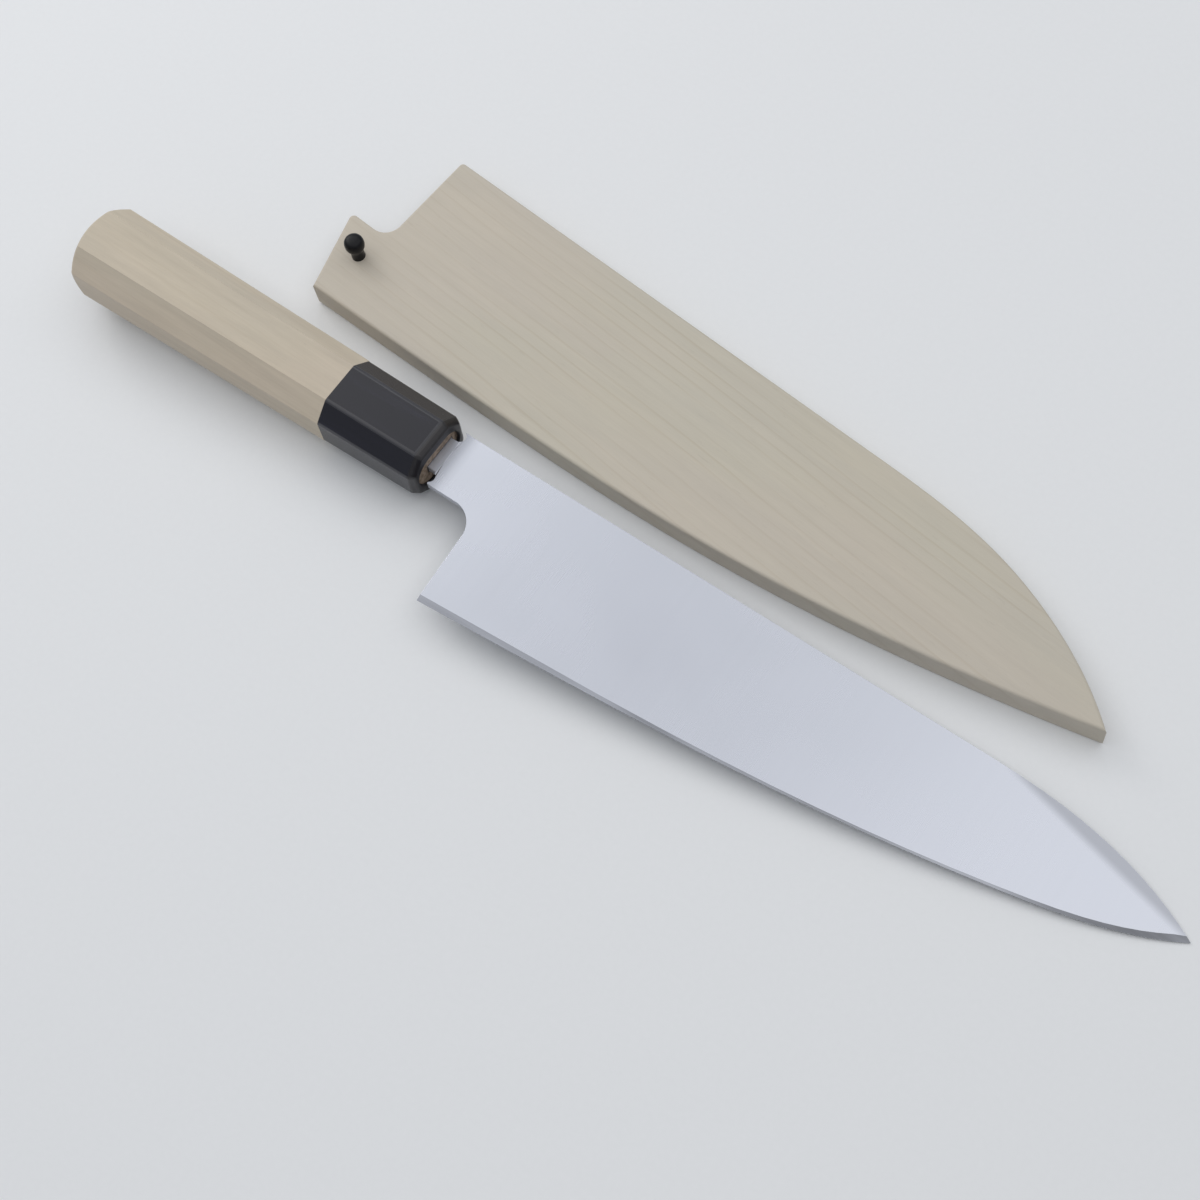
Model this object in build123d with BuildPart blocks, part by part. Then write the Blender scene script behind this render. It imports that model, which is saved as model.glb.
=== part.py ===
from build123d import *
import os
from math import atan, cos, radians, sin, tan

os.makedirs("parts", exist_ok=True)

# A gyuto, the Japanese chef's knife, lies flat beside its wooden sheath, the saya. +X runs from
# the butt of the handle to the tip, +Y from the edge to the spine, and +Z up from the table. The
# origin is on the table, under the middle of the whole layout. All sizes are in millimetres.
# Places on the knife are given as u along the handle's axis from the butt, p towards the spine,
# and q out of the blade's face.

# Handle: an octagon that grows towards the butt
handle_length = 134.2
grip_length = 99.7
butt_width = 27.5
butt_depth = 24.5
butt_facet = 6.4
front_width = 23.8
front_depth = 20.8
front_facet = 5.5
butt_dome_radius = 24.0
butt_rim_chamfer = 0.4

# Ferrule, and the tenon of the grip that passes through it
ferrule_bevel_length = 2.1
ferrule_bevel_depth = 1.1
tenon_width = 18.6
tenon_depth = 11.2
tenon_recess = 0.7
bore_rim_chamfer = 0.4

# Blade in plan
machi_gap = 2.4
neck_length = 19.1
neck_height = 19.0
edge_length = 222.3
heel_height = 49.2
spine_rise = 10.2
spine_straight_share = 0.667
tip_depth_share = 0.291
spine_tip_slope = 0.54
heel_lean = 1.3
choil_radius = 8.0
notch_radius = 1.8
notch_setback = 0.8

# Stations along the edge, from the heel forwards: the share of the edge's length, the drop of the
# spine and the depth of the edge below the spine's straight run as shares of the heel's height,
# and the wood of the saya outside the spine and outside the edge
stations = [
    (0.000, 0.000, 1.000, 6.5, 5.6),
    (0.289, 0.000, 0.902, 6.5, 7.2),
    (0.573, 0.000, 0.764, 6.5, 9.1),
    (0.802, 0.022, 0.590, 6.8, 10.0),
    (0.937, 0.161, 0.427, 10.7, 11.7),
]

# Blade in thickness: each face is ground flat, thinner towards the tip and towards the edge, with
# a hollow where the grind runs out at the machi and a second facet along the spine near the tip
heel_thickness = 3.0
grind_to_tip = 0.00363
grind_to_edge = 0.0240
run_out_length = 5.5
run_out_radius = 50.0
facet_start_share = 0.698
facet_slope = 0.236
facet_angle = 1.6
bevel_angle = 9.5
edge_thickness = 0.08
plate_margin = 2.0

# Tang, and the resin that holds it in the grip
tang_length = 88.0
tang_height = 11.3
tang_end_height = 7.0
tang_rise = 1.15
tang_thickness = 2.8
resin_gap = 0.5

# Saya
saya_thickness = 9.6
saya_edge_round = 0.9
pocket_gap = 1.0
pocket_side_gap = 0.3
saya_tip_reach = 35.2
saya_tip_drop = 5.4
saya_spine_straight_share = 0.675
saya_nose_ahead = 14.6
saya_nose_rise = 7.3
saya_nose_slope = 0.78
lobe_length = 13.2
lobe_top_depth = 28.3
lobe_lean = 9.5
lobe_corner_radius = 1.5
notch_fillet = 5.5
mouth_ahead_of_pin = 2.4
mouth_lean = 1.3
mouth_corner_radius = 1.3

# Pin that locks the blade in the saya, just behind the heel
pin_behind_heel = 5.0
pin_depth = 38.4
pin_diameter = 4.2
pin_fit = 0.05
pin_head_diameter = 6.2
pin_head_height = 4.7
pin_neck_height = 4.0
pin_tip_gap = 0.4
pin_head_round = 1.1
pin_tip_chamfer = 0.4

# Where the saya lies: the pin's axis measured from the butt of the handle, and the saya's turn
pin_from_butt = 69.8
pin_beside_axis = 42.6
saya_turn = -6.7

# Places along the knife
machi_u = handle_length + machi_gap
heel_u = machi_u + neck_length
tip_u = heel_u + edge_length
choil_u = heel_u - heel_lean
heel_p = spine_rise - heel_height
neck_p = spine_rise - neck_height
tip_p = spine_rise - tip_depth_share * heel_height
tenon_end_u = handle_length - tenon_recess
tang_low = tang_rise - tang_height / 2
tang_high = tang_rise + tang_height / 2
resin_half = tang_thickness / 2 + resin_gap
pocket_half = heel_thickness / 2 + pocket_side_gap


def station_u(share):
    """How far from the butt a share of the edge's length lies."""
    return heel_u + share * edge_length


def taper(butt_value, front_value, u):
    """A size of the handle at u, between its values at the butt and at the front."""
    return butt_value + (front_value - butt_value) * u / handle_length


# The knife rests on the lower front corner of the ferrule's flat and on the tip
contact_u = handle_length - ferrule_bevel_length
contact_depth = taper(butt_depth, front_depth, contact_u) / 2
tip_half = heel_thickness / 2 - grind_to_tip * edge_length - grind_to_edge * tip_depth_share * heel_height
tilt = atan((contact_depth - tip_half) / (tip_u - contact_u))
axis_height = tip_u * sin(tilt) + tip_half * cos(tilt)

# The layout's middle in plan: from the butt's dome to the tip, and from the heel to the saya's
# rounded corner at its mouth
turn = radians(saya_turn)
pin_u = heel_u - pin_behind_heel
pin_p = spine_rise - pin_depth
saya_spine_p = spine_rise + stations[0][3]
mouth_u = pin_u + mouth_ahead_of_pin - mouth_lean
corner_u = mouth_u + mouth_corner_radius - pin_u
corner_p = saya_spine_p - mouth_corner_radius - pin_p
corner_y = corner_u * sin(turn) + corner_p * cos(turn) + mouth_corner_radius
middle_x = (tip_u * cos(tilt) - butt_dome_radius * (1 - cos(tilt))) / 2
middle_y = (heel_p + pin_beside_axis + corner_y) / 2

lobe_top_p = spine_rise - lobe_top_depth
lobe_low = (pin_u - lobe_length + lobe_lean, heel_p - stations[0][4])
saya_edge_points = [lobe_low]
for share, _, depth, _, wood in stations[1:]:
    saya_edge_points.append((station_u(share), spine_rise - depth * heel_height - wood))
saya_spine_points = []
for share, drop, _, wood, _ in stations[4:]:
    saya_spine_points.append((station_u(share), spine_rise - drop * heel_height + wood))
saya_spine_points.append((tip_u + saya_nose_ahead, tip_p + saya_nose_rise))

# The plane of the blade, and the plane in which the sheathed blade would lie in the saya: both
# take the same u and p
knife = Plane(
    origin=(-middle_x, -middle_y, axis_height),
    x_dir=(cos(tilt), 0, -sin(tilt)),
    z_dir=(sin(tilt), 0, cos(tilt)),
)
saya_floor = Plane(
    origin=(
        pin_from_butt - middle_x - pin_u * cos(turn) + pin_p * sin(turn),
        pin_beside_axis - middle_y - pin_u * sin(turn) - pin_p * cos(turn),
        0,
    ),
    x_dir=(cos(turn), sin(turn), 0),
    z_dir=(0, 0, 1),
)
saya_seam = saya_floor.offset(saya_thickness / 2)


def across(u):
    """The plane across the knife at u, with its x towards the spine and its y out of the face."""
    origin = knife.from_local_coords(Vector(u, 0, 0))
    return Plane(origin=origin, x_dir=knife.y_dir, z_dir=knife.x_dir)


def octagon(u):
    """The handle's section at u, drawn in the current sketch."""
    outline = Rectangle(taper(butt_width, front_width, u), taper(butt_depth, front_depth, u))
    chamfer(outline.vertices(), taper(butt_facet, front_facet, u))


def spine_curve(gap):
    """The spine's fall to the tip, a gap outside the blade's, drawn in the current line."""
    start = (station_u(spine_straight_share), spine_rise + gap)
    passed = [(station_u(s), spine_rise - drop * heel_height + gap) for s, drop, *_ in stations[3:]]
    tangents = [(1, 0), (1, -spine_tip_slope)]
    return Spline(start, *passed, (tip_u + gap, tip_p), tangents=tangents)


def edge_curve(gap):
    """The edge from the heel to the tip, a gap outside the blade's, drawn in the current line."""
    points = [(station_u(s), spine_rise - depth * heel_height - gap) for s, _, depth, *_ in stations]
    return Spline(*points, (tip_u + gap, tip_p))


def tang_outline(gap):
    """The tang's taper, with a gap round it, from its end to the machi, in the current line."""
    middle = (tang_low + tang_high) / 2
    end_u = handle_length - tang_length - gap
    end_half = tang_end_height / 2 + gap
    Polyline(
        (machi_u, tang_low - gap),
        (machi_u, tang_high + gap),
        (end_u, middle + end_half),
        (end_u, middle - end_half),
        close=True,
    )


def knife_vector(u, p, q):
    """A direction given along the knife's own axes."""
    return knife.x_dir * u + knife.y_dir * p + knife.z_dir * q


# The flat of one face: it passes through the spine at the heel, half the thickness out
flat = Plane(
    origin=knife.from_local_coords(Vector(heel_u, spine_rise, heel_thickness / 2)),
    x_dir=knife_vector(1, 0, -grind_to_tip),
    z_dir=knife_vector(grind_to_tip, -grind_to_edge, 1),
)
run_out_x = machi_u + run_out_length - heel_u
wheel_end_x = tip_u + 2 * plate_margin - heel_u
blank_half = heel_thickness / 2 + run_out_length**2 / run_out_radius

# The facet falls away from the flat towards the spine
facet_run = (flat.x_dir - flat.y_dir * facet_slope).normalized()
facet_fall = flat.z_dir.cross(facet_run) * sin(radians(facet_angle))
facet = Plane(
    origin=flat.from_local_coords(Vector(facet_start_share * edge_length, 0, 0)),
    x_dir=facet_run,
    z_dir=flat.z_dir + facet_fall,
)

# What the grindstone takes from one face: all that lies above the flat, with the wheel's own
# radius where it runs out at the machi, and then all that lies above the facet
with BuildPart() as face_grind:
    with BuildSketch(Plane(origin=flat.origin, x_dir=flat.x_dir, z_dir=-flat.y_dir)):
        with BuildLine():
            wheel = CenterArc((run_out_x, run_out_radius), run_out_radius, -90, -20)
            Polyline(
                wheel @ 1,
                ((wheel @ 1).X, 2 * run_out_radius),
                (wheel_end_x, 2 * run_out_radius),
                (wheel_end_x, 0),
                wheel @ 0,
            )
        make_face()
    extrude(amount=2 * heel_height, both=True)

with BuildPart() as facet_grind:
    with BuildSketch(facet):
        Rectangle(edge_length, heel_height)
    extrude(amount=heel_thickness)

# The plate that the blade is cut from, both faces ground flat
with BuildPart() as plate:
    with BuildSketch(knife.offset(-blank_half)):
        with Locations(((machi_u + tip_u) / 2, spine_rise - heel_height / 2)):
            Rectangle(tip_u - machi_u + 2 * plate_margin, heel_height + 2 * plate_margin)
    extrude(amount=2 * blank_half)
    add(face_grind.part, mode=Mode.SUBTRACT)
    mirror(face_grind.part, about=knife, mode=Mode.SUBTRACT)

# The bevel of one face, carried past the heel and the tip
with BuildPart() as bevel_grind:
    with BuildLine(knife) as edge_path:
        curve = edge_curve(0)
        Line(curve @ 0 - 2 * plate_margin * (curve % 0), curve @ 0)
        Line(curve @ 1, curve @ 1 + 2 * plate_margin * (curve % 1))
    run = edge_path.wire()
    rise = tan(radians(bevel_angle))
    inner = heel_thickness / 2 / rise
    with BuildSketch(Plane(origin=run @ 0, x_dir=knife.z_dir.cross(run % 0), z_dir=run % 0)):
        with BuildLine():
            Polyline(
                (-1, edge_thickness / 2 - rise),
                (inner, edge_thickness / 2 + rise * inner),
                (-1, edge_thickness / 2 + rise * inner),
                close=True,
            )
        make_face()
    sweep(path=run)

# The blade's profile in front of the machi, with a notch either side of the tang
with BuildSketch(knife.offset(-blank_half)) as profile:
    with BuildLine():
        spine = spine_curve(0)
        edge = edge_curve(0)
        Line((machi_u, spine_rise), spine @ 0)
        FilletPolyline(edge @ 0, (choil_u, neck_p), (machi_u, neck_p), radius=choil_radius)
        Line((machi_u, neck_p), (machi_u, spine_rise))
    make_face()
    for low, high in ((neck_p, tang_low), (tang_high, spine_rise)):
        with Locations((machi_u - notch_setback, (low + high) / 2)):
            Circle(notch_radius, mode=Mode.SUBTRACT)

# Blade: the profile is cut from the plate; then the facets, the bevels and the tang
with BuildPart() as blade:
    add(profile.sketch)
    extrude(amount=2 * blank_half)
    add(plate.part, mode=Mode.INTERSECT)
    for tool in (facet_grind.part, bevel_grind.part):
        add(tool, mode=Mode.SUBTRACT)
        mirror(tool, about=knife, mode=Mode.SUBTRACT)
    with BuildSketch(knife.offset(-tang_thickness / 2)):
        with BuildLine():
            tang_outline(0)
        make_face()
    extrude(amount=tang_thickness)

blade.part.label = "blade"
export_step(blade.part, "parts/blade.step")

# The form that domes the butt: a ball that runs on as a cylinder, wider than the grip
with BuildPart() as dome:
    with BuildSketch(across(butt_dome_radius)):
        Circle(butt_dome_radius)
    extrude(amount=handle_length)
    with Locations(knife.location * Location((butt_dome_radius, 0, 0))):
        Sphere(butt_dome_radius)

# Grip: an octagon that starts a little behind the butt, where the dome then cuts it, and the oval
# tenon that carries the ferrule
with BuildPart() as grip:
    for u in (-butt_rim_chamfer, grip_length):
        with BuildSketch(across(u)):
            octagon(u)
    loft(ruled=True)
    add(dome.part, mode=Mode.INTERSECT)
    butt = grip.faces().sort_by(Axis(knife.origin, knife.x_dir))[0]
    chamfer(butt.edges(), butt_rim_chamfer)
    with BuildSketch(across(grip_length)):
        SlotOverall(tenon_width, tenon_depth)
    extrude(amount=tenon_end_u - grip_length)
    with BuildSketch(knife.offset(-resin_half)):
        with BuildLine():
            tang_outline(resin_gap)
        make_face()
    extrude(amount=2 * resin_half, mode=Mode.SUBTRACT)

grip.part.label = "grip"
export_step(grip.part, "parts/grip.step")

# Ferrule: horn bored for the tenon, its front corner bevelled all round
with BuildPart() as ferrule:
    for u in (grip_length, handle_length):
        with BuildSketch(across(u)):
            octagon(u)
    loft(ruled=True)
    front = ferrule.faces().sort_by(Axis(knife.origin, knife.x_dir))[-1]
    chamfer(front.edges(), ferrule_bevel_depth, ferrule_bevel_length, reference=front)
    with BuildSketch(across(grip_length)):
        SlotOverall(tenon_width, tenon_depth)
    extrude(amount=handle_length - grip_length, mode=Mode.SUBTRACT)
    front = ferrule.faces().sort_by(Axis(knife.origin, knife.x_dir))[-1]
    chamfer(front.inner_wires()[0].edges(), bore_rim_chamfer)

ferrule.part.label = "ferrule"
export_step(ferrule.part, "parts/ferrule.step")

# Resin: fills the slot of the grip around the tang, flush with the tenon's end
with BuildPart() as tang_resin:
    with BuildSketch(knife.offset(-resin_half)):
        with BuildLine():
            tang_outline(resin_gap)
        make_face()
    extrude(amount=2 * resin_half)
    with BuildSketch(across(tenon_end_u)):
        Rectangle(tenon_width, tenon_depth)
    extrude(amount=tenon_width, mode=Mode.SUBTRACT)
    add(blade.part, mode=Mode.SUBTRACT)

tang_resin.part.label = "tang_resin"
export_step(tang_resin.part, "parts/tang_resin.step")

# Pocket of the saya: the blade's profile with a gap all round, open through the mouth
with BuildSketch(Plane.XY) as pocket:
    with BuildLine():
        spine = spine_curve(pocket_gap)
        edge = edge_curve(pocket_gap)
        rear_u = pin_u - 2 * lobe_length
        Polyline(edge @ 0, (rear_u, (edge @ 0).Y), (rear_u, (spine @ 0).Y), spine @ 0)
    make_face()

# Outline of the saya: the lobe behind the heel, the notch that clears the neck, and the long
# spine and edge sides that meet at the nose
with BuildSketch(Plane.XY) as saya_outline:
    with BuildLine():
        nose = (tip_u + saya_tip_reach, tip_p - saya_tip_drop)
        edge_side = Spline(*saya_edge_points, nose)
        spine_side = Spline(
            (station_u(saya_spine_straight_share), saya_spine_p),
            *saya_spine_points,
            nose,
            tangents=[(1, 0), (1, -saya_nose_slope)],
        )
        FilletPolyline(
            edge_side @ 0,
            (pin_u - lobe_length, lobe_top_p),
            (pin_u + mouth_ahead_of_pin, lobe_top_p),
            (mouth_u, saya_spine_p),
            spine_side @ 0,
            radius=[lobe_corner_radius, notch_fillet, mouth_corner_radius],
        )
    make_face()

# Halves of the saya: each is a board with its outer rim rounded and half of the pocket cut in it
saya_halves = {}
for name, board, inwards in (
    ("saya_lower", saya_floor, 1),
    ("saya_upper", saya_floor.offset(saya_thickness), -1),
):
    with BuildPart() as half:
        with BuildSketch(board):
            add(saya_outline.sketch)
        extrude(amount=inwards * saya_thickness / 2)
        rim = half.faces().filter_by(Axis.Z).sort_by(Axis.Z, reverse=inwards < 0)[0]
        fillet(rim.edges(), saya_edge_round)
        with BuildSketch(saya_seam):
            add(pocket.sketch)
        extrude(amount=-inwards * pocket_half, mode=Mode.SUBTRACT)
        with Locations(saya_floor.from_local_coords(Vector(pin_u, pin_p, saya_thickness / 2))):
            Hole(pin_diameter / 2 + pin_fit)
    half.part.label = name
    export_step(half.part, f"parts/{name}.step")
    saya_halves[name] = half

# Pin: a turned peg with a domed head, its shank down through both halves
with BuildPart() as saya_pin:
    with BuildSketch(saya_floor.offset(pin_tip_gap)):
        with Locations((pin_u, pin_p)):
            Circle(pin_diameter / 2)
    extrude(amount=saya_thickness + pin_neck_height - pin_tip_gap)
    chamfer(saya_pin.edges().group_by(Axis.Z)[0], pin_tip_chamfer)
    with BuildSketch(saya_floor.offset(saya_thickness + pin_neck_height)):
        with Locations((pin_u, pin_p)):
            Circle(pin_head_diameter / 2)
    extrude(amount=pin_head_height)
    fillet(saya_pin.edges().group_by(Axis.Z)[-1], pin_head_round)

saya_pin.part.label = "saya_pin"
export_step(saya_pin.part, "parts/saya_pin.step")
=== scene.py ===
"""Gives a packed chef's knife and its sheath their finishes, and sets them on a studio floor."""

import math

import bmesh
import bpy
from mathutils import Matrix, Vector


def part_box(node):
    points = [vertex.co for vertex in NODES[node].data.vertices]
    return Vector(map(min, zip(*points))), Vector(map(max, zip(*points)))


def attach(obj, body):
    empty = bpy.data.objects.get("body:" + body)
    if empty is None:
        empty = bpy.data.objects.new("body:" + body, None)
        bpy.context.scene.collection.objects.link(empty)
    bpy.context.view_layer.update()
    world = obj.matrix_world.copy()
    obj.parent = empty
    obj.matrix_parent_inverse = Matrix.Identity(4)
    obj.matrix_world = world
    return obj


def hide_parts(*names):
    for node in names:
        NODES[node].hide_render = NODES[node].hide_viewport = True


bl_info = {
    "name": "Gyuto and Saya",
    "version": (1, 0, 0),
    "blender": (4, 5, 0),
    "location": "View3D > Sidebar > Knife",
    "description": "Steel, horn and magnolia finishes for a chef's knife and its sheath",
    "category": "Object",
}

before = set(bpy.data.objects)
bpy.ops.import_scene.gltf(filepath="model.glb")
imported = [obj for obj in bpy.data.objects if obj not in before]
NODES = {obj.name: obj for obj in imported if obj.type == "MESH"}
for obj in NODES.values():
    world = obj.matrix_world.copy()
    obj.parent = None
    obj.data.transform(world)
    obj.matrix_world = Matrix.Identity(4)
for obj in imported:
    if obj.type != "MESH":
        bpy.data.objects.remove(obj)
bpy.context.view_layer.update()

# The knife's own frame, in metres: u runs from the butt along the handle's axis, p towards the
# spine and q out of the face. The saya's frame has the same u and p.
KNIFE_TILT = math.radians(2.3473)
KNIFE_ORIGIN = (-0.188831, -0.023961, 0.015830)
SAYA_TURN = math.radians(-6.7)
SAYA_ORIGIN = (-0.265412, 0.064229, 0.0)
HANDLE_END = 0.1342
FERRULE_START = 0.0997
FERRULE_BEVEL = 0.0021
MACHI = 0.1366
HEEL = 0.1557
TIP = 0.3780
SPINE = 0.0102
NECK = -0.0088
FACET_START = HEEL + 0.698 * (TIP - HEEL)
FACET_SLOPE = 0.236
POLISH_START = MACHI + 0.0012

# How far the spine falls towards the tip, and over which length
SPINE_CURVE_START = 0.30
SPINE_CURVE_LENGTH = 0.074
SPINE_FALL = 0.0145

# How near an edge has to be to a place to count as lying on it, in metres
NEAR = 0.0005
HAIR = 0.0002

# The least turn between two faces that makes a corner of steel and of the handle, and the tilt of
# the bevels along the edge, in degrees
STEEL_CORNER = 60
HANDLE_CORNER = 25
BEVEL_TILT = (6.0, 14.0)

# What counts as outside on the handle: past these places
HANDLE_SIDE = 0.0098
HANDLE_FACE = 0.0092

# Where the wood, the horn and the steel take other tones: shares of their own colour, and colours
GROWTH_LINE_TINT = (0.72, 0.64, 0.52)
WARM_TINT = (1.0, 0.95, 0.84)
BLUSH_TINT = (1.03, 0.97, 0.99)
SCORCHED_PALE = (0.36, 0.27, 0.20, 1)
SCORCHED_DARK = (0.20, 0.145, 0.10, 1)
HORN_BROWN = (0.014, 0.010, 0.008, 1)
RESIN_DARK = (0.012, 0.008, 0.006, 1)
RESIN_PALE = (0.045, 0.028, 0.016, 1)
# Painted highlight: how much lighter the rounded spine and choil are made
SPINE_HIGHLIGHT_SHARE = 1.45
HORN_STREAK_SHARE = 2.4
PEG_SCUFF_SHARE = 1.9

# The floor, the lights and the camera
FLOOR_HALF = 4.0
PANEL_DEPTH = 2.4
PANEL_MIDDLE = 0.4
PANEL_HEIGHT = 1.25
SIDE_LIGHT_PLACE = (-1.05, 0.25, 0.60)
SIDE_LIGHT_SIZE = (0.5, 0.5)
LAMP_WHITE = (1.0, 0.99, 0.98)
SURROUND_COLOUR = (0.90, 0.94, 1.0, 1)
CAMERA_PLACE = (0.185086, -0.190431, 0.510520)
CAMERA_RIGHT = (0.8094, 0.5780, -0.1035)
CAMERA_BACK = (0.3167, -0.2812, 0.9059)

# The overhead softbox: each panel's ends along X, and its share of the brightness
OVERHEAD_PANELS = (
    ("butt_panel", -1.75, -0.50, 1.18),
    ("middle_panel", -0.50, 0.00, 0.60),
    ("tip_panel", 0.00, 1.15, 0.96),
)

# The peg's outline: its radius as a share of the knob's, and the height above the floor
PEG_PROFILE = (
    (0.0, 0.0004),
    (0.55, 0.0004),
    (0.677, 0.0008),
    (0.677, 0.0100),
    (0.665, 0.0112),
    (0.68, 0.0124),
    (0.74, 0.0133),
    (0.85, 0.0140),
    (0.95, 0.0146),
    (1.0, 0.0154),
    (0.995, 0.0163),
    (0.95, 0.0171),
    (0.85, 0.0177),
    (0.65, 0.0181),
    (0.35, 0.0183),
    (0.0, 0.0183),
)


# ---------------------------------------------------------------- shader maths


class Value:
    """A socket in a material that can be used in arithmetic: each operation adds its Math node."""

    def __init__(self, tree, socket):
        self.tree = tree
        self.socket = socket

    def math(self, operation, *values):
        return self.tree.add("ShaderNodeMath", {"operation": operation}, dict(enumerate(values)))

    def __add__(self, other):
        return self.math("ADD", self, other)

    def __radd__(self, other):
        return self.math("ADD", other, self)

    def __sub__(self, other):
        return self.math("SUBTRACT", self, other)

    def __rsub__(self, other):
        return self.math("SUBTRACT", other, self)

    def __mul__(self, other):
        return self.math("MULTIPLY", self, other)

    def __rmul__(self, other):
        return self.math("MULTIPLY", other, self)

    def __truediv__(self, other):
        return self.math("DIVIDE", self, other)

    def __rtruediv__(self, other):
        return self.math("DIVIDE", other, self)

    def fraction(self):
        return self.math("FRACT", self)

    def rise(self, low, high):
        """0 below low, 1 above high, and a smooth step between; low above high turns it round."""
        settings = {"interpolation_type": "SMOOTHSTEP"}
        values = {"Value": self, "From Min": low, "From Max": high}
        return self.tree.add("ShaderNodeMapRange", settings, values)


class Tree:
    """The nodes of one material."""

    def __init__(self, name):
        self.material = bpy.data.materials.new(name)
        self.material.use_nodes = True
        self.nodes = self.material.node_tree.nodes
        self.links = self.material.node_tree.links
        self.nodes.clear()

    def add(self, kind, settings=None, values=None, output=0):
        """Adds a node: its settings first, then the values or links of its sockets."""
        node = self.nodes.new(kind)
        for name, setting in (settings or {}).items():
            setattr(node, name, setting)
        for name, value in (values or {}).items():
            if isinstance(value, Value):
                self.links.new(value.socket, node.inputs[name])
            else:
                node.inputs[name].default_value = value
        return Value(self, node.outputs[output]) if node.outputs else None

    def place(self, origin, turn):
        """Object coordinates in a piece's own frame."""
        coordinates = self.add("ShaderNodeTexCoord", output=3)
        settings = {"vector_type": "TEXTURE"}
        values = {"Vector": coordinates, "Location": origin, "Rotation": turn}
        return self.add("ShaderNodeMapping", settings, values)

    def stretch(self, vector, scale):
        """The place multiplied along each axis, so that a pattern made from it is stretched."""
        settings = {"operation": "MULTIPLY"}
        return self.add("ShaderNodeVectorMath", settings, {0: vector, 1: scale})

    def parts(self, vector):
        """The three numbers of a vector."""
        node = self.add("ShaderNodeSeparateXYZ", values={"Vector": vector}).socket.node
        return [Value(self, output) for output in node.outputs]

    def join(self, x, y, z):
        """A vector, or a grey, from three numbers."""
        return self.add("ShaderNodeCombineXYZ", values={"X": x, "Y": y, "Z": z})

    def noise(self, vector, scale=1.0, detail=2.0, roughness=0.5, distortion=0.0):
        values = {
            "Vector": vector,
            "Scale": scale,
            "Detail": detail,
            "Roughness": roughness,
            "Distortion": distortion,
        }
        return self.add("ShaderNodeTexNoise", values=values)

    def mix(self, share, first, second, blend="MIX"):
        """A colour between two colours."""
        settings = {"data_type": "RGBA", "blend_type": blend}
        return self.add("ShaderNodeMix", settings, {0: share, 6: first, 7: second}, output=2)

    def bump(self, height, distance, strength=1.0):
        values = {"Height": height, "Distance": distance, "Strength": strength}
        return self.add("ShaderNodeBump", values=values)

    def finish(self, **sockets):
        """Joins the sockets to one Principled shader and returns the material."""
        values = {name.replace("_", " "): value for name, value in sockets.items()}
        shader = self.add("ShaderNodeBsdfPrincipled", values=values)
        self.add("ShaderNodeOutputMaterial", values={"Surface": shader})
        return self.material


def opaque(colour, factor=1.0):
    """A colour property as four numbers, made lighter or darker by a factor."""
    return tuple(part * factor for part in colour) + (1.0,)


def tinted(colour, tint):
    """A colour property as four numbers, with each of its parts changed by a share of its own."""
    return tuple(part * share for part, share in zip(colour, tint)) + (1.0,)


# ---------------------------------------------------------------- materials


def ground_steel(settings):
    """Satin steel, ground across the blade, with a stoned bevel; the grind facets at the tip and a
    band past the machi are darkened as painted shade, and the tang is lightened as a painted
    highlight.
    """
    t = Tree("ground_steel")
    own = t.place(KNIFE_ORIGIN, (0, KNIFE_TILT, 0))
    u, p, _ = t.parts(own)
    fine = t.noise(t.stretch(own, (1 / settings.hairline, 24, 24)), detail=2, roughness=0.6)
    broad = t.noise(t.stretch(own, (420, 14, 14)), detail=3, roughness=0.6)
    cloud = t.noise(t.stretch(own, (22, 30, 30)), detail=2)
    below = FACET_START + (SPINE - p) / FACET_SLOPE
    # Painted shade: the grind facets towards the tip are darkened, standing in for their tilt
    # catching less light.
    shaded_facet = (u - below).rise(-0.0006, 0.0130) * u.rise(FACET_START, FACET_START + 0.012)
    # Painted shade: a band just past the machi is darkened, standing in for the run-out hollow's
    # reflection.
    machi = u.rise(MACHI - 0.0008, MACHI + 0.0002) * u.rise(MACHI + 0.0040, MACHI + 0.0006)
    # Painted highlight: the tang is lightened, besides being made rougher.
    tang = u.rise(MACHI + 0.0002, MACHI - 0.0006)
    tone = 0.97 + (fine - 0.5) * 0.02 + (broad - 0.5) * 0.03 + (cloud - 0.5) * 0.06
    tone = tone * (1 - shaded_facet * 0.30) * (1 - machi * 0.26) * (1 + tang * 0.20)
    steel = t.mix(1.0, opaque(settings.steel), t.join(tone, tone, tone), "MULTIPLY")
    roughness = 0.27 + (fine - 0.5) * 0.02 + (cloud - 0.5) * 0.08 + shaded_facet * 0.05 + tang * 0.20
    return t.finish(Base_Color=steel, Metallic=1.0, Roughness=roughness)


def stoned_bevel(settings):
    """The steel of the bevels along the edge, with streaks from the whetstone along them."""
    t = Tree("stoned_bevel")
    own = t.place(KNIFE_ORIGIN, (0, KNIFE_TILT, 0))
    u = t.parts(own)[0]
    streak = t.noise(t.stretch(own, (30, 500, 500)), detail=2)
    patch = t.noise(t.stretch(own, (26, 40, 40)), detail=1)
    thin = u.rise(HEEL + 0.14, TIP)
    tone = 0.58 + (streak - 0.5) * 0.16 + (patch - 0.5) * 0.60 - thin * 0.25
    steel = t.mix(1.0, opaque(settings.steel), t.join(tone, tone, tone), "MULTIPLY")
    roughness = 0.20 + (streak - 0.5) * 0.12
    return t.finish(Base_Color=steel, Metallic=1.0, Roughness=roughness)


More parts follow.
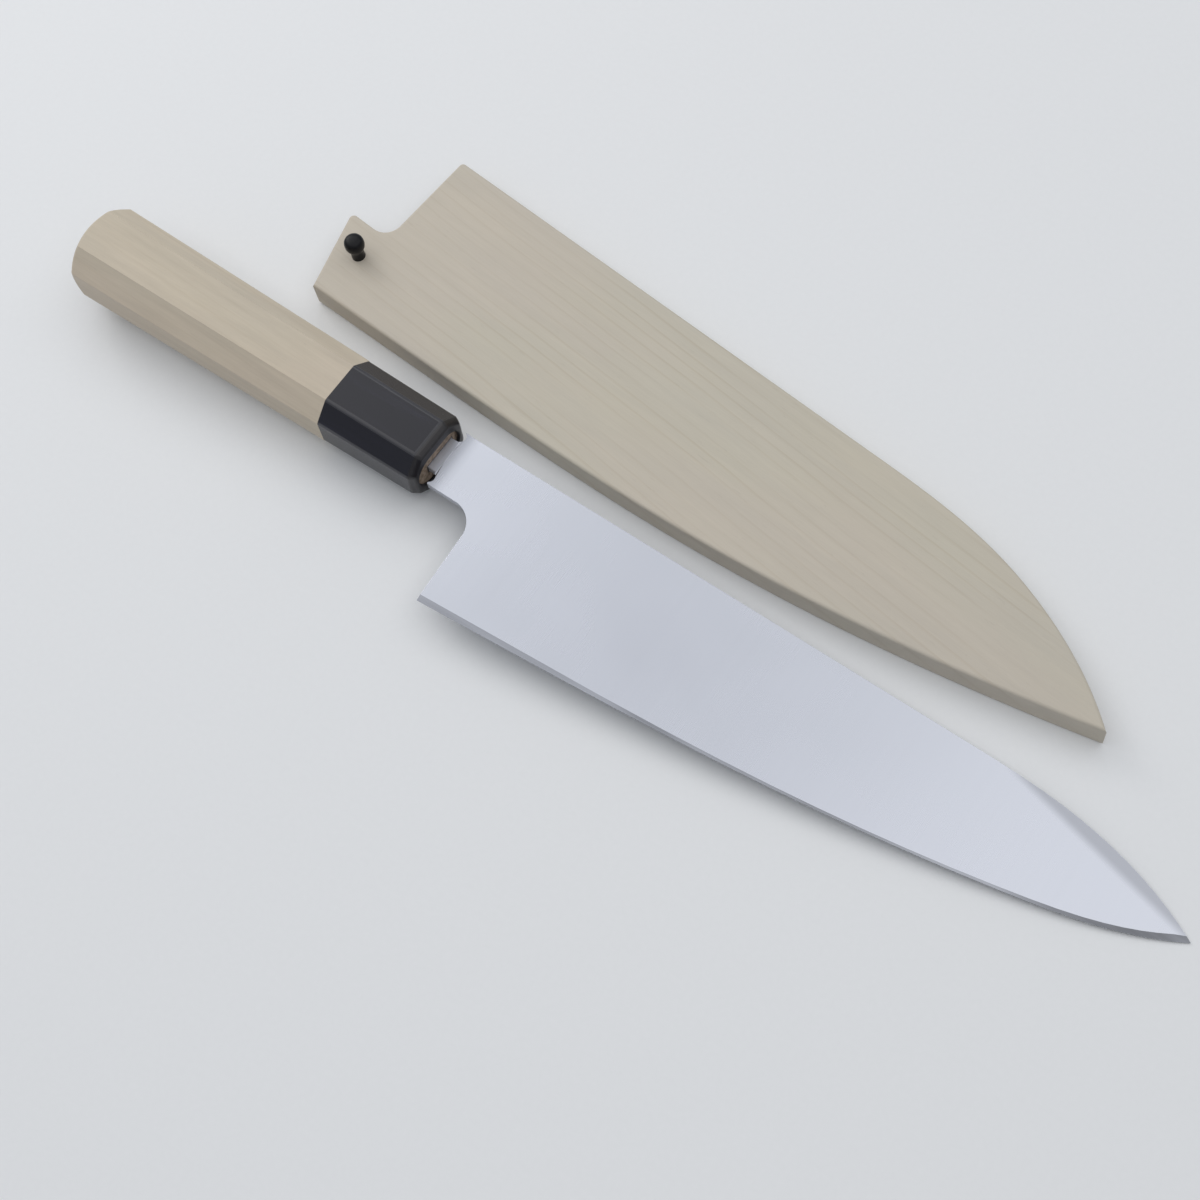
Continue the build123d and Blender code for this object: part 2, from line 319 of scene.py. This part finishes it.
def polished_steel_with_highlight(settings):
    """The rounded and polished corners of the spine and the choil, lightened in colour as a painted
    highlight.
    """
    t = Tree("polished_steel_with_highlight")
    own = t.place(KNIFE_ORIGIN, (0, KNIFE_TILT, 0))
    scuff = t.noise(t.stretch(own, (40, 300, 300)), detail=2)
    tone = 0.98 + (scuff - 0.5) * 0.08
    # Painted highlight: the steel's colour is lightened on these corners
    steel = t.mix(1.0, opaque(settings.steel, SPINE_HIGHLIGHT_SHARE), t.join(tone, tone, tone), "MULTIPLY")
    roughness = 0.17 + (scuff - 0.5) * 0.12
    return t.finish(Base_Color=steel, Metallic=1.0, Roughness=roughness)


def magnolia(name, origin, turn, colour, growth, lines, grain, burnt=False):
    """Bare magnolia: fine pores and growth lines along the grain, over slow changes of tone.

    A burnt piece is scorched brown on its tenon, where the hot tang went in.
    """
    t = Tree(name)
    own = t.place(origin, turn)
    u, p, q = t.parts(own)
    sway = t.noise(t.stretch(own, (9, 16, 16)), detail=2)
    across = p + q * 0.35 + u * 0.035 + (sway - 0.5) * 0.004
    uneven = t.noise(t.join(across * 70, 0.0, 0.0), detail=1)
    turns = across / growth + (uneven - 0.5) * 1.6
    ring = turns.fraction()
    line = ring.rise(0.72, 0.94) * ring.rise(1.0, 0.96)
    broken = t.noise(t.stretch(own, (14, 90, 90)), detail=2).rise(0.30, 0.62)
    pore = t.noise(t.stretch(own, (110, 2600, 2600)), detail=2, roughness=0.7)
    fleck = t.noise(t.stretch(own, (260, 1500, 1500)), detail=1).rise(0.70, 0.78)
    slow = t.noise(t.stretch(own, (10, 45, 45)), detail=3, roughness=0.6)
    streak = t.noise(t.stretch(own, (34, 460, 460)), detail=3, roughness=0.6)
    blush = t.noise(t.stretch(own, (9, 22, 22)), detail=2).rise(0.42, 0.66)
    tone = 1.0 + (pore - 0.5) * 0.10 + (slow - 0.5) * 0.12 + (streak - 0.5) * grain - fleck * 0.04
    base = t.mix(line * broken * lines, opaque(colour), tinted(colour, GROWTH_LINE_TINT))
    base = t.mix((slow - 0.35) * 0.8, base, tinted(colour, WARM_TINT))
    base = t.mix(blush * 0.40, base, tinted(colour, BLUSH_TINT))
    wood = t.mix(1.0, base, t.join(tone, tone, tone), "MULTIPLY")
    roughness = 0.56 + (pore - 0.5) * 0.20
    if burnt:
        scorch = u.rise(FERRULE_START + 0.001, FERRULE_START + 0.002)
        char = t.noise(t.stretch(own, (500, 900, 900)), detail=3)
        brown = t.mix(char.rise(0.35, 0.65), SCORCHED_PALE, SCORCHED_DARK)
        wood = t.mix(scorch, wood, brown)
    normal = t.bump(pore - fleck * 0.6 - line * 0.3, 0.00004, 0.55)
    return t.finish(Base_Color=wood, Roughness=roughness, Normal=normal, Specular_IOR_Level=0.35)


def black_horn(name, colour):
    """Polished horn: nearly black, with faint paler streaks along it and a browner front bevel."""
    t = Tree(name)
    own = t.place(KNIFE_ORIGIN, (0, KNIFE_TILT, 0))
    u = t.parts(own)[0]
    streak = t.noise(t.stretch(own, (30, 380, 380)), detail=4, roughness=0.6, distortion=0.4)
    scuff = t.noise(t.stretch(own, (1400, 700, 700)), detail=3, roughness=0.7)
    bevel_start = HANDLE_END - FERRULE_BEVEL
    front = u.rise(bevel_start - HAIR, bevel_start + HAIR)
    horn = t.mix(streak.rise(0.50, 0.85) * 0.6, opaque(colour), opaque(colour, HORN_STREAK_SHARE))
    horn = t.mix(front * 0.5, horn, HORN_BROWN)
    roughness = 0.24 + (scuff - 0.5) * 0.14 + front * 0.08
    normal = t.bump(scuff, 0.000006, 0.5)
    return t.finish(Base_Color=horn, Roughness=roughness, Normal=normal, IOR=1.48)


def set_resin():
    """Hardened resin round the tang, dark and slightly grainy."""
    t = Tree("set_resin")
    own = t.place(KNIFE_ORIGIN, (0, KNIFE_TILT, 0))
    grain = t.noise(own, scale=1800, detail=3)
    colour = t.mix(grain, RESIN_DARK, RESIN_PALE)
    roughness = 0.45 + (grain - 0.5) * 0.2
    return t.finish(Base_Color=colour, Roughness=roughness, Normal=t.bump(grain, 0.00005))


def turned_peg(settings):
    """Black satin peg with faint lathe marks round it."""
    t = Tree("turned_peg")
    own = t.place(SAYA_ORIGIN, (0, 0, SAYA_TURN))
    marks = t.noise(t.stretch(own, (120, 120, 2600)), detail=2)
    scuff = t.noise(own, scale=900, detail=3)
    colour = t.mix(scuff, opaque(settings.peg), opaque(settings.peg, PEG_SCUFF_SHARE))
    roughness = 0.36 + (scuff - 0.5) * 0.2
    normal = t.bump(marks + scuff * 0.4, 0.00001, 0.6)
    return t.finish(Base_Color=colour, Roughness=roughness, Normal=normal, Specular_IOR_Level=0.20)


# ---------------------------------------------------------------- meshes


def in_knife(point):
    """A point of the row's frame in the knife's own u, p and q."""
    local = Vector(point) - Vector(KNIFE_ORIGIN)
    return Matrix.Rotation(-KNIFE_TILT, 3, "Y") @ local


def in_knife_direction(direction):
    """A direction of the row's frame along the knife's own axes."""
    return Matrix.Rotation(-KNIFE_TILT, 3, "Y") @ Vector(direction)


def merged_copy(node):
    """A CAD node's mesh with its corners joined and its flats back to whole faces."""
    shape = bmesh.new()
    shape.from_mesh(NODES[node].data)
    bmesh.ops.remove_doubles(shape, verts=shape.verts, dist=2e-6)
    bmesh.ops.dissolve_limit(
        shape, angle_limit=math.radians(0.15), verts=shape.verts, edges=shape.edges
    )
    return shape


def middle_of(edge):
    """The middle of an edge in the knife's own u, p and q."""
    return in_knife((edge.verts[0].co + edge.verts[1].co) / 2)


def turn_of(edge):
    """The angle between the two faces of an edge, in degrees; 0 where it is open."""
    return math.degrees(edge.calc_face_angle(0.0)) if len(edge.link_faces) == 2 else 0.0


def outer_corner(edge, before, after=-0.01):
    """Whether an edge is a corner on the outside of the handle, between two places along it."""
    u, p, q = middle_of(edge)
    outside = abs(p) > HANDLE_SIDE or abs(q) > HANDLE_FACE
    return turn_of(edge) > HANDLE_CORNER and outside and after < u < before


def polished_corner(edge):
    """Whether an edge is one of the blade's corners along the spine, the choil or the neck."""
    u, p, q = middle_of(edge)
    fall = SPINE_FALL * max(0.0, (u - SPINE_CURVE_START) / SPINE_CURVE_LENGTH)
    on_spine = p > SPINE - fall - 0.0004
    in_neck = POLISH_START < u < HEEL - NEAR and p < NECK + NEAR
    off_middle = abs(q) > HAIR
    place_fits = off_middle and u > POLISH_START and (on_spine or in_neck)
    return place_fits and turn_of(edge) > STEEL_CORNER


def on_bevel(face):
    """Whether a face of the blade is one of the bevels along its edge."""
    u = in_knife(face.calc_center_median())[0]
    tilt = math.degrees(math.asin(min(1.0, abs(in_knife_direction(face.normal).y))))
    return u > HEEL - 0.003 and BEVEL_TILT[0] < tilt < BEVEL_TILT[1]


def soften(shape, edges, width, segments):
    """Rounds the edges, and returns the new faces."""
    made = bmesh.ops.bevel(
        shape,
        geom=edges,
        offset=width,
        offset_type="OFFSET",
        affect="EDGES",
        segments=segments,
        profile=0.5,
        clamp_overlap=True,
        material=-1,
    )
    return made["faces"]


def new_piece(name, shape, materials, node, body):
    """Puts a finished mesh in the scene in place of a CAD node."""
    bmesh.ops.recalc_face_normals(shape, faces=shape.faces)
    mesh = bpy.data.meshes.new(name)
    shape.to_mesh(mesh)
    shape.free()
    for material in materials:
        mesh.materials.append(material)
    mesh.shade_smooth()
    mesh.set_sharp_from_angle(angle=math.radians(32))
    piece = bpy.data.objects.new(name, mesh)
    bpy.context.scene.collection.objects.link(piece)
    weighted = piece.modifiers.new("even_shading", "WEIGHTED_NORMAL")
    weighted.keep_sharp = True
    weighted.weight = 80
    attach(piece, body)
    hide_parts(node)
    return piece


def turned_knob():
    """The peg, turned round its axis: shank, waisted neck and domed knob."""
    low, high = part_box("saya_pin")
    axis = (low + high) / 2
    radius = (high.x - low.x) / 2
    shape = bmesh.new()
    corners = [shape.verts.new((axis.x + r * radius, axis.y, z)) for r, z in PEG_PROFILE]
    for first, second in zip(corners, corners[1:]):
        shape.edges.new((first, second))
    bmesh.ops.spin(
        shape,
        geom=shape.verts[:] + shape.edges[:],
        cent=axis,
        axis=(0, 0, 1),
        angle=math.tau,
        steps=48,
        use_merge=True,
    )
    bmesh.ops.remove_doubles(shape, verts=shape.verts, dist=1e-6)
    return shape


def recolour(node, material):
    """Gives a CAD node its procedural material."""
    mesh = NODES[node].data
    mesh.materials.clear()
    mesh.materials.append(material)


def soft_light(name, place, size, power):
    """A large rectangular light aimed at the middle of the layout."""
    light = bpy.data.lights.new(name, "AREA")
    light.shape = "RECTANGLE"
    light.size, light.size_y = size
    light.energy = power
    light.color = LAMP_WHITE
    lamp = bpy.data.objects.new(name, light)
    lamp.location = place
    lamp.rotation_mode = "QUATERNION"
    lamp.rotation_quaternion = Vector(place).to_track_quat("Z", "Y")
    bpy.context.scene.collection.objects.link(lamp)
    return lamp


# ---------------------------------------------------------------- settings


class BladeSettings(bpy.types.PropertyGroup):
    """Sizes and colour of the blade's finish"""

    steel: bpy.props.FloatVectorProperty(
        name="Steel",
        description="Colour of the ground steel",
        subtype="COLOR",
        size=3,
        min=0.0,
        max=1.0,
        default=(0.58, 0.60, 0.66),
    )
    hairline: bpy.props.FloatProperty(
        name="Hairlines",
        description="Spacing of the grinding lines across the blade",
        unit="LENGTH",
        min=0.0001,
        max=0.002,
        default=0.00032,
    )
    spine_round: bpy.props.FloatProperty(
        name="Spine rounding",
        description="Width of the polished rounding along the spine and the choil",
        unit="LENGTH",
        min=0.0001,
        max=0.0004,
        default=0.0003,
    )


class HandleSettings(bpy.types.PropertyGroup):
    """Sizes and colours of the grip and the ferrule"""

    wood: bpy.props.FloatVectorProperty(
        name="Magnolia",
        description="Colour of the grip's wood",
        subtype="COLOR",
        size=3,
        min=0.0,
        max=1.0,
        default=(0.533, 0.472, 0.378),
    )
    horn: bpy.props.FloatVectorProperty(
        name="Horn",
        description="Colour of the ferrule",
        subtype="COLOR",
        size=3,
        min=0.0,
        max=1.0,
        default=(0.0075, 0.0075, 0.0135),
    )
    # Painted highlight: the ferrule's rounded corners get this paler colour.
    corner: bpy.props.FloatVectorProperty(
        name="Horn corners",
        description="Paler colour of the ferrule's highlighted corners",
        subtype="COLOR",
        size=3,
        min=0.0,
        max=1.0,
        default=(0.040, 0.040, 0.046),
    )
    grip_round: bpy.props.FloatProperty(
        name="Grip rounding",
        description="Width of the sanded corners of the grip",
        unit="LENGTH",
        min=0.0001,
        max=0.001,
        default=0.00035,
    )
    ferrule_round: bpy.props.FloatProperty(
        name="Ferrule rounding",
        description="Width of the polished corners of the ferrule",
        unit="LENGTH",
        min=0.0001,
        max=0.0009,
        default=0.0007,
    )


class SayaSettings(bpy.types.PropertyGroup):
    """Colours of the sheath and its peg"""

    wood: bpy.props.FloatVectorProperty(
        name="Magnolia",
        description="Colour of the sheath's wood",
        subtype="COLOR",
        size=3,
        min=0.0,
        max=1.0,
        default=(0.518, 0.483, 0.407),
    )
    growth: bpy.props.FloatProperty(
        name="Growth lines",
        description="Spacing of the growth lines in the sheath",
        unit="LENGTH",
        min=0.002,
        max=0.03,
        default=0.0036,
    )
    peg: bpy.props.FloatVectorProperty(
        name="Peg",
        description="Colour of the locking peg",
        subtype="COLOR",
        size=3,
        min=0.0,
        max=1.0,
        default=(0.004, 0.004, 0.005),
    )


class StageSettings(bpy.types.PropertyGroup):
    """Floor, lights and camera"""

    floor: bpy.props.FloatVectorProperty(
        name="Floor",
        description="Colour of the studio floor",
        subtype="COLOR",
        size=3,
        min=0.0,
        max=1.0,
        default=(0.78, 0.79, 0.80),
    )
    overhead: bpy.props.FloatProperty(
        name="Overhead lights",
        description="Brightness of the three panels of the overhead softbox",
        min=0.0,
        max=5.0,
        default=0.84,
    )
    side_power: bpy.props.FloatProperty(
        name="Side light",
        description="Power of the smaller light beyond the butt",
        unit="POWER",
        min=0.0,
        max=50.0,
        default=2.5,
    )
    surround: bpy.props.FloatProperty(
        name="Surround",
        description="Brightness of the even light from all round",
        min=0.0,
        max=2.0,
        default=0.42,
    )
    lens: bpy.props.FloatProperty(
        name="Lens",
        description="Focal length of the camera",
        unit="CAMERA",
        min=10.0,
        max=200.0,
        default=60.0,
    )


# ---------------------------------------------------------------- operators


class KNIFE_OT_blade(bpy.types.Operator):
    """Round the spine and the choil, and finish the steel"""

    bl_idname = "knife.blade"
    bl_label = "Blade"

    def execute(self, context):
        settings = context.scene.knife_blade
        shape = merged_copy("blade")
        edges = [edge for edge in shape.edges if polished_corner(edge)]
        for face in soften(shape, edges, settings.spine_round, 3):
            face.material_index = 2
        for face in shape.faces:
            if face.material_index == 0 and on_bevel(face):
                face.material_index = 1
        materials = [ground_steel(settings), stoned_bevel(settings), polished_steel_with_highlight(settings)]
        new_piece("blade_finished", shape, materials, "blade", "knife")
        return {"FINISHED"}


class KNIFE_OT_handle(bpy.types.Operator):
    """Soften the corners of the grip and the ferrule, and finish wood, horn and resin"""

    bl_idname = "knife.handle"
    bl_label = "Handle"

    def execute(self, context):
        settings = context.scene.knife_handle
        wood = magnolia(
            "grip_magnolia",
            KNIFE_ORIGIN,
            (0, KNIFE_TILT, 0),
            settings.wood,
            growth=0.0031,
            lines=0.12,
            grain=0.28,
            burnt=True,
        )
        shape = merged_copy("grip")
        edges = [edge for edge in shape.edges if outer_corner(edge, FERRULE_START - 0.0004)]
        soften(shape, edges, settings.grip_round, 3)
        new_piece("grip_finished", shape, [wood], "grip", "knife")
        shape = merged_copy("ferrule")
        ends = (HANDLE_END + 0.001, FERRULE_START + 0.0004)
        edges = [edge for edge in shape.edges if outer_corner(edge, *ends)]
        for face in soften(shape, edges, settings.ferrule_round, 4):
            face.material_index = 1
        # The rounded corners take the paler second material, a painted highlight.
        horn = [
            black_horn("black_horn", settings.horn),
            black_horn("corner_highlight_horn", settings.corner),
        ]
        new_piece("ferrule_finished", shape, horn, "ferrule", "knife")
        recolour("tang_resin", set_resin())
        return {"FINISHED"}


class KNIFE_OT_saya(bpy.types.Operator):
    """Finish the two halves of the sheath and the peg that locks the blade in it"""

    bl_idname = "knife.saya"
    bl_label = "Saya and peg"

    def execute(self, context):
        settings = context.scene.knife_saya
        wood = magnolia(
            "saya_magnolia",
            SAYA_ORIGIN,
            (0, 0, SAYA_TURN),
            settings.wood,
            settings.growth,
            lines=0.30,
            grain=0.12,
        )
        recolour("saya_lower", wood)
        recolour("saya_upper", wood)
        peg = [turned_peg(settings)]
        new_piece("peg_finished", turned_knob(), peg, "saya_pin", "pin")
        return {"FINISHED"}


class KNIFE_OT_stage(bpy.types.Operator):
    """Lay the floor and set the lights and the camera"""

    bl_idname = "knife.stage"
    bl_label = "Stage"

    def execute(self, context):
        settings = context.scene.knife_stage
        shape = bmesh.new()
        bmesh.ops.create_grid(shape, x_segments=1, y_segments=1, size=FLOOR_HALF)
        mesh = bpy.data.meshes.new("floor")
        shape.to_mesh(mesh)
        shape.free()
        t = Tree("studio_floor")
        paper = t.noise(t.place((0, 0, 0), (0, 0, 0)), scale=600, detail=3)
        colour = t.mix(paper, opaque(settings.floor, 0.985), opaque(settings.floor, 1.015))
        mesh.materials.append(t.finish(Base_Color=colour, Roughness=0.8))
        floor = bpy.data.objects.new("floor", mesh)
        context.scene.collection.objects.link(floor)
        for name, low, high, share in OVERHEAD_PANELS:
            size = (high - low, PANEL_DEPTH)
            power = math.pi * size[0] * size[1] * share * settings.overhead
            place = ((low + high) / 2, PANEL_MIDDLE, PANEL_HEIGHT)
            panel = soft_light(name, place, size, power)
            panel.rotation_quaternion = (1, 0, 0, 0)
        soft_light("side_light", SIDE_LIGHT_PLACE, SIDE_LIGHT_SIZE, settings.side_power)
        world = bpy.data.worlds.new("studio_surround")
        world.use_nodes = True
        background = world.node_tree.nodes["Background"]
        background.inputs["Color"].default_value = SURROUND_COLOUR
        background.inputs["Strength"].default_value = settings.surround
        context.scene.world = world
        context.scene.view_settings.view_transform = "Standard"
        lens = bpy.data.cameras.new("camera")
        lens.lens = settings.lens
        lens.sensor_width = 36.0
        lens.clip_start = 0.01
        camera = bpy.data.objects.new("camera", lens)
        right = Vector(CAMERA_RIGHT).normalized()
        back = Vector(CAMERA_BACK).normalized()
        up = back.cross(right).normalized()
        axes = Matrix((right, up, back)).transposed().to_4x4()
        camera.matrix_world = Matrix.Translation(CAMERA_PLACE) @ axes
        context.scene.collection.objects.link(camera)
        context.scene.camera = camera
        return {"FINISHED"}


# ---------------------------------------------------------------- panel and registration


class KNIFE_PT_panel(bpy.types.Panel):
    """Buttons and settings for the knife and its sheath"""

    bl_idname = "KNIFE_PT_panel"
    bl_label = "Gyuto and Saya"
    bl_space_type = "VIEW_3D"
    bl_region_type = "UI"
    bl_category = "Knife"

    def draw(self, context):
        for operator, group in STEPS:
            box = self.layout.box()
            box.operator(operator.bl_idname)
            settings = getattr(context.scene, group)
            for name in settings.__annotations__:
                box.prop(settings, name)


STEPS = (
    (KNIFE_OT_stage, "knife_stage"),
    (KNIFE_OT_blade, "knife_blade"),
    (KNIFE_OT_handle, "knife_handle"),
    (KNIFE_OT_saya, "knife_saya"),
)
GROUPS = {
    "knife_stage": StageSettings,
    "knife_blade": BladeSettings,
    "knife_handle": HandleSettings,
    "knife_saya": SayaSettings,
}


def register():
    for name, group in GROUPS.items():
        bpy.utils.register_class(group)
        setattr(bpy.types.Scene, name, bpy.props.PointerProperty(type=group))
    for operator, _ in STEPS:
        bpy.utils.register_class(operator)
    bpy.utils.register_class(KNIFE_PT_panel)


def unregister():
    bpy.utils.unregister_class(KNIFE_PT_panel)
    for operator, _ in reversed(STEPS):
        bpy.utils.unregister_class(operator)
    for name, group in reversed(GROUPS.items()):
        delattr(bpy.types.Scene, name)
        bpy.utils.unregister_class(group)


def main():
    """Makes every piece in order."""
    register()
    bpy.ops.knife.stage()
    bpy.ops.knife.blade()
    bpy.ops.knife.handle()
    bpy.ops.knife.saya()


if __name__ == "__main__":
    main()
